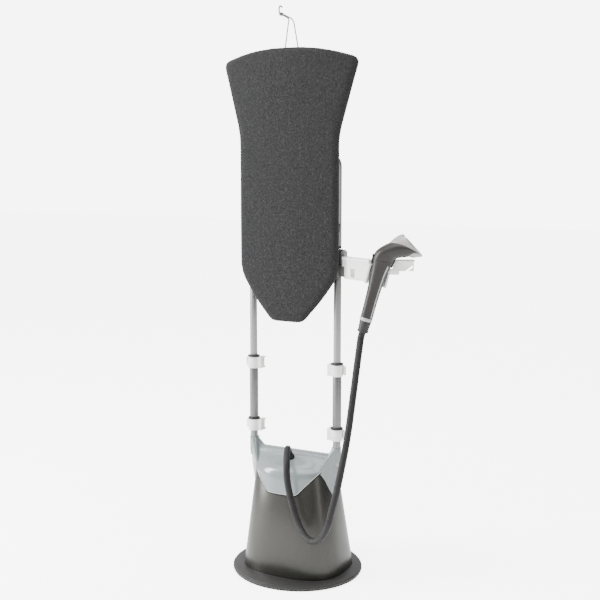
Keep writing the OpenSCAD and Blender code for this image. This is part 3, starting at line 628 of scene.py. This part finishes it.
def board_corners(grow):
    """Half outline of the board: x, z and how far each corner's rounding reaches."""
    return [(0.047 + grow * 0.5, BOARD_BOTTOM_Z - grow, 0.016),
            (0.103 + grow, BOARD_BOTTOM_Z + 0.064 - grow * 0.6, 0.030),
            (0.156 + grow, BOARD_BOTTOM_Z + 0.138, 0.034),
            (0.156 + grow, BOARD_TOP_Z - 0.239, 0.040),
            (0.214 + grow, BOARD_TOP_Z - 0.031 + grow * 0.5, 0.024),
            (0.100, BOARD_TOP_Z + grow, 0.076)]


def board_outline(grow, steps=6):
    """The board's outline with rounded corners, grown by some metres."""
    half = board_corners(grow)
    corners = half + [(-x, z, reach) for x, z, reach in reversed(half)]
    line = []
    for i, (x, z, reach) in enumerate(corners):
        corner = Vector((x, z))
        before = Vector(corners[i - 1][:2])
        after = Vector(corners[(i + 1) % len(corners)][:2])
        a = corner + (before - corner).normalized() * reach
        b = corner + (after - corner).normalized() * reach
        for step in range(steps + 1):
            t = step / steps
            line.append(a * (1 - t) ** 2 + corner * 2 * t * (1 - t) + b * t * t)
    return line


def bow(x):
    """How far the board's face falls back at a distance from its middle."""
    return BOW_R - math.sqrt(BOW_R ** 2 - x * x)


def slab_of(name, outline, y0, y1):
    """A flat slab of an outline, from y0 to y1."""
    mesh = bmesh.new()
    mesh.faces.new([mesh.verts.new((p.x, y0, p.y)) for p in outline])
    data = bpy.data.meshes.new(name)
    mesh.to_mesh(data)
    mesh.free()
    piece = bpy.data.objects.new(name, data)
    bpy.context.scene.collection.objects.link(piece)
    open_edit(piece, "FACE")
    bpy.ops.mesh.select_all(action="SELECT")
    bpy.ops.mesh.extrude_region_move(TRANSFORM_OT_translate={"value": (0, y1 - y0, 0)})
    close_edit()
    outward(piece)
    return piece


def swell(piece, frames, pressure, cap):
    """Inflates a closed cloth mesh and caps how far any point moves."""
    rest = [v.co.copy() for v in piece.data.vertices]
    hold(piece)
    cloth = piece.modifiers.new("cloth", "CLOTH")
    cloth.settings.use_pressure = True
    cloth.settings.uniform_pressure_force = pressure
    cloth.settings.quality = 4
    cloth.settings.effector_weights.gravity = 0
    cloth.collision_settings.use_collision = False
    scene = bpy.context.scene
    for number in range(1, frames + 1):
        scene.frame_set(number)
    bpy.ops.object.modifier_apply(modifier=cloth.name)
    scene.frame_set(1)
    for vertex, start in zip(piece.data.vertices, rest):
        step = vertex.co - start
        if step.length > cap:
            vertex.co = start + step * (cap / step.length)


def inside(outline, x, z):
    """Whether a point lies inside an outline."""
    found = False
    for i, a in enumerate(outline):
        b = outline[i - 1]
        if (a.y > z) != (b.y > z) and x < (b.x - a.x) * (z - a.y) / (b.y - a.y) + a.x:
            found = not found
    return found


def make_cover():
    """The board's cloth cover: padded face, soft edge, and a hem drawn round the panel's back."""
    cover = slab_of("board_cover_cloth", board_outline(COVER_GROW), BOARD_FRONT_Y + 0.0005,
                    BOARD_FRONT_Y + BOARD_THICK - 0.001)
    apply(cover, "BEVEL", width=0.006, segments=3, limit_method="ANGLE", angle_limit=math.radians(60))
    apply(cover, "REMESH", mode="VOXEL", voxel_size=0.0055)
    swell(cover, PUFF_FRAMES, PUFF_PRESSURE, PUFF_CAP)
    apply(cover, "SMOOTH", factor=0.5, iterations=3)
    hem_edge = board_outline(-HEM_DEPTH)
    back = BOARD_FRONT_Y + BOARD_THICK - 0.006
    open_edit(cover, "FACE")
    pick(cover, lambda f: f.calc_center_median().y > back and f.normal.y > 0.7
         and inside(hem_edge, f.calc_center_median().x, f.calc_center_median().z), "faces")
    bpy.ops.mesh.delete(type="FACE")
    close_edit()
    apply(cover, "SUBSURF", levels=1, render_levels=1)
    for vertex in cover.data.vertices:
        x, y, z = vertex.co
        rear = min(1.0, max(0.0, (y - back + 0.004) / 0.006))
        gather = noise.noise(Vector((x * 60, 0, z * 60))) * 0.0012 * rear
        ease = noise.noise(Vector((x * 9, 7, z * 9))) * 0.0005 * (1 - rear)
        vertex.co.y = y + bow(x) + gather + ease
    apply(cover, "SOLIDIFY", thickness=CLOTH_THICK, offset=-1)
    finished(cover, "board", CLOTH, ["board_cover"], 60)


def make_pad():
    """The foam pad under the cloth, rounded and bowed like the board."""
    pad = slab_of("board_foam", board_outline(-0.004), BOARD_FRONT_Y + 0.0035, BOARD_FRONT_Y + 0.012)
    apply(pad, "BEVEL", width=0.003, segments=3, limit_method="ANGLE", angle_limit=math.radians(60))
    apply(pad, "REMESH", mode="VOXEL", voxel_size=0.005)
    apply(pad, "SMOOTH", factor=0.5, iterations=4)
    for vertex in pad.data.vertices:
        vertex.co.y += bow(vertex.co.x)
    finished(pad, "board", FOAM, ["board_pad"], 60)


# ---------- Lofted shapes ----------


def grid_piece(name, rows, closed):
    """A piece over rows of points; closed rows become rings with capped ends."""
    mesh = bmesh.new()
    grid = [[mesh.verts.new(point) for point in row] for row in rows]
    count = len(rows[0])
    for upper, lower in zip(grid, grid[1:]):
        for k in range(count if closed else count - 1):
            j = (k + 1) % count
            mesh.faces.new((upper[k], upper[j], lower[j], lower[k]))
    if closed:
        mesh.faces.new(list(reversed(grid[0])))
        mesh.faces.new(grid[-1])
    data = bpy.data.meshes.new(name)
    mesh.to_mesh(data)
    mesh.free()
    piece = bpy.data.objects.new(name, data)
    bpy.context.scene.collection.objects.link(piece)
    outward(piece)
    return piece


# ---------- Lid ----------

# The lid's middle line from its rear edge over the top and down to its lower tip: y, z
LID_MIDDLE = [(11.8, 371), (11.5, 376.3), (3, 377.6), (-7, 377.3), (-13.5, 373.5), (-19, 365),
              (-30, 357), (-52, 350.5), (-76, 339), (-86, 325), (-89.3, 306), (-91.3, 286),
              (-92.8, 270), (-93.2, 264.5)]
# The same line at the lid's side: x, y, z
LID_SIDE = [(121, 11.8, 372), (122, 11.5, 377), (122, 3, 378), (123, -7, 377), (121.5, -13.5, 371),
            (118, -20, 361), (114, -31, 350), (109.5, -42, 336), (107, -47, 330), (100, -57, 322.5),
            (86, -68.5, 307), (69, -79, 288), (53, -86, 270.5), (44, -88.5, 265)]
LID_CURL = 2.7
LID_THICK = 2.2 * MM


def lid_rows(columns=24):
    """The lid's points from its rear edge to its lower tip, each row running from side to side."""
    rows = []
    for (yc, zc), (xs, ys, zs) in zip(LID_MIDDLE, LID_SIDE):
        row = []
        for column in range(columns + 1):
            t = 2 * column / columns - 1
            k = abs(t) ** LID_CURL
            row.append(Vector((xs * t, yc + (ys - yc) * k, zc + (zs - zc) * k)) * MM)
        rows.append(row)
    return rows


def make_body():
    """The body's shell, cut back below the lid so that a dark gap runs along the lid's edge."""
    body = refined("body_shell", LACQUER, 0.5 * MM)
    rows = lid_rows()[1:]
    under = Vector((0, 3.0, -4.0)) * MM
    away = Vector((0, -45.0, 45.0)) * MM
    rings = [[p + under for p in row] + [p + away for p in reversed(row)] for row in rows]
    cutter = grid_piece("lid_cutter", rings, True)
    uncut = bpy.data.objects.new("uncut_body", body.data.copy())
    bpy.context.scene.collection.objects.link(uncut)
    apply(body, "BOOLEAN", object=cutter, operation="DIFFERENCE", solver="EXACT")
    apply(body, "DATA_TRANSFER", object=uncut, use_loop_data=True, data_types_loops={"CUSTOM_NORMAL"},
          loop_mapping="POLYINTERP_NEAREST")
    for spare in (cutter, uncut):
        bpy.data.objects.remove(spare)


def make_lid():
    """One saddle-shaped sheet: a ridge between the poles that falls forward into a tongue, with a pale bead
    of painted highlight along its rim and a black strip of painted shade below it.
    """
    lid = grid_piece("lid", lid_rows(), False)
    rows = lid_rows()
    edge = [row[0] for row in rows[7:-1]] + rows[-1] + [row[-1] for row in reversed(rows[7:-1])]
    line = curve_through(edge, 3)
    # The bead's pale trim colour is a painted highlight: it stands in for the glint along the lid's rounded
    # rim.
    highlight_bead = tube_along("lid_painted_highlight_bead", line, 1.1 * MM, 8)
    finished(highlight_bead, "root", TRIM)
    # This black tube is painted shade: it darkens the shadowed gap just under the lid's rim.
    shade_strip = tube_along("lid_painted_shade_strip", [point + Vector((0, 1.6, -2.6)) * MM for point in line], 1.9 * MM, 8)
    finished(shade_strip, "root", RUBBER)
    apply(lid, "SUBSURF", levels=2, render_levels=2)
    apply(lid, "SOLIDIFY", thickness=LID_THICK, offset=-1)
    apply(lid, "BEVEL", width=0.5 * MM, segments=2, limit_method="ANGLE",
          angle_limit=math.radians(50), use_clamp_overlap=True)
    finished(lid, "root", CLOUD, ["top_cover"], 40)


# ---------- Steam head ----------

# Rings in the head's frame: forward, up, tilt in degrees, half depth and half width
GRIP_RINGS = [(-44, -114, 14.6, 17.3, 15.5), (-38.2, -92, 14.6, 17.3, 15.6), (-29.5, -58, 14.6, 18, 16.4),
              (-20.5, -24, 14, 19.6, 17.8), (-12.5, 6, 12, 22.4, 20), (-4, 32, 12, 26.5, 22),
              (-0.9, 44.4, 14, 29, 23.5)]
HOOD_RINGS = [(-0.85, 44.6, 14, 29.05, 23.55), (5, 60, 20, 29.8, 26.5), (20, 68, 30, 30, 30),
              (44, 74.5, 40, 32.5, 35), (58, 79.5, 36, 32.3, 37), (70, 79, 33, 30.5, 37.6),
              (79, 75, 34, 26, 36.5), (86, 71, 36, 21, 32.5)]
SKIRT_RINGS = [(45, 72, 38, 36, 26), (58, 79, 41, 40, 32), (70, 83.5, 44.5, 42.5, 35),
               (79, 86, 47, 43, 35.5)]
BOOT_COLLAR = [(-51.8, -147.5, 14.6, 12.3, 12.3), (-50.4, -142, 14.6, 12.6, 12.6)]
FACE_RINGS = [(78.6, 85.6, 47.3, 40.5, 33), (80.6, 87.4, 47.3, 41, 33.6), (81.3, 88.1, 47.3, 40.4, 33)]


def ring_at(ring, angle, out=0.0, power=2.3):
    """A point of one ring, at an angle from its front, some millimetres outside it."""
    forward, up, tilt, half_f, half_y = ring
    c, s = math.cos(angle), math.sin(angle)
    u = (half_f + out) * math.copysign(abs(c) ** (2 / power), c)
    v = (half_y + out) * math.copysign(abs(s) ** (2 / power), s)
    tilt = math.radians(tilt)
    return Vector((forward + u * math.cos(tilt), v, up - u * math.sin(tilt))) * MM


def lofted(name, rings, sides=28, power=2.3):
    """A closed body through rings of the head's frame, smoothed between them."""
    rows = [[ring_at(ring, 2 * math.pi * k / sides, 0.0, power) for k in range(sides)] for ring in rings]
    return put(grid_piece(name, rows, True), HEAD_PLACE)


def round_over(piece, rim=1.2 * MM, level=1):
    """Rounds the sharp rims and smooths the rest."""
    apply(piece, "BEVEL", width=rim, segments=2, limit_method="ANGLE",
          angle_limit=math.radians(55), use_clamp_overlap=True)
    apply(piece, "SUBSURF", levels=level, render_levels=level)


def between(rings, share):
    """A ring part of the way along a row of rings."""
    place = min(share * (len(rings) - 1), len(rings) - 1.0001)
    low = int(place)
    k = place - low
    return tuple(a + (b - a) * k for a, b in zip(rings[low], rings[low + 1]))


def make_trim():
    """The light line along both sides of the handle, near its front edge."""
    lines = []
    for side in (-1, 1):
        rows = []
        for step in range(37):
            ring = between(GRIP_RINGS, 0.015 + 0.83 * step / 36)
            rows.append([ring_at(ring, side * math.radians(angle), out)
                         for angle, out in ((48, -0.6), (50, 0.4), (59, 0.4), (61, -0.6))])
        lines.append(put(grid_piece("trim_line", rows, True), HEAD_PLACE))
    hold(lines[0])
    for line in lines[1:]:
        line.select_set(True)
    bpy.ops.object.join()
    finished(bpy.context.active_object, "steam_head", TRIM, ["trim_strip"], 40)


def make_head():
    """Grip, hood, skirt, steam face and the collar under the boot."""
    grip = lofted("grip", GRIP_RINGS)
    round_over(grip, 0.3 * MM)
    finished(grip, "steam_head", TAUPE, ["handle_shell"], 50)
    hood = lofted("hood", HOOD_RINGS)
    round_over(hood, 0.4 * MM)
    finished(hood, "steam_head", TAUPE, ["head_shell"], 50)
    skirt = lofted("skirt", SKIRT_RINGS, power=2.1)
    round_over(skirt, 3.0 * MM)
    finished(skirt, "steam_head", SKIRT, ["sole_skirt"], 50)
    face = lofted("face", FACE_RINGS)
    round_over(face, 0.5 * MM)
    finished(face, "steam_head", STEEL, ["soleplate"], 50)
    make_trim()
    collar = lofted("boot_collar", BOOT_COLLAR)
    round_over(collar, 0.8 * MM)
    finished(collar, "steam_head", BLACK)


# ---------- Everything at its place ----------

make_camera()
make_hoses()
make_floor()
make_lights()
make_cover()
make_pad()
make_body()
make_lid()
make_head()

REFINED = [
    ("base_plate", PLATE, 1.6), ("foot_ring", RUBBER, 0.8), ("base_screws", STEEL, 0.3),
    ("yoke", CLOUD, 0.7),
    ("stub_tubes", SILVER, 0.3), ("hose_gland", BLACK, 0.8), ("cord_inlet", BLACK, 0.8),
    ("power_button", CLOUD, 1.2), ("water_tank", SMOKE, 0.8), ("filler_flap", GREY, 0.8),
    ("lower_tubes", DARK_SILVER, 0.3), ("upper_tubes", SILVER, 0.3), ("lower_clamps", WHITE, 1.0),
    ("upper_clamps", WHITE, 1.0), ("clamp_collars", GREY, 0.6), ("lever_pins", STEEL, 0.3),
    ("lever_lower_left", WHITE, 0.9), ("lever_lower_right", WHITE, 0.9),
    ("lever_upper_left", WHITE, 0.9), ("lever_upper_right", WHITE, 0.9),
    ("pole_caps", GREY, 0.8), ("crossbar", SILVER, 0.3), ("hinge_pins", STEEL, 0.3),
    ("tilt_knob", KNUCKLE, 0.8), ("dock_clamp", CLAMP, 1.0), ("dock_arm", WHITE, 1.2),
    ("dock_cradle", WHITE, 1.0), ("frame_knuckles", GREY, 0.8), ("rear_frame", SILVER, 0.0),
    ("board_brackets", GREY, 1.0), ("board_panel", PANEL, 0.6), ("hook_bracket", GREY, 0.8),
    ("hanger_hook", WIRE, 0.0), 
    ("trigger", BLACK, 1.2),
    ("lock_slider", BLACK, 0.8), ("hose_ring", TRIM, 0.8),
    ("hose_boot", GREY, 0.8)]
for node, look, bevel in REFINED:
    refined(node, look, bevel * MM)

INNER = {"boiler": CAST, "heating_element": CAST, "thermostat": BLACK, "pump": WHITE,
         "water_pipes": WHITE, "steam_pipe": WHITE, "control_board": CIRCUIT, "chassis": GREY,
         "tank_valve": WHITE, "steam_valve": CAST}
for node, look in INNER.items():
    frame["nodes"][node].data.materials.clear()
    frame["nodes"][node].data.materials.append(look)

deselect_all()
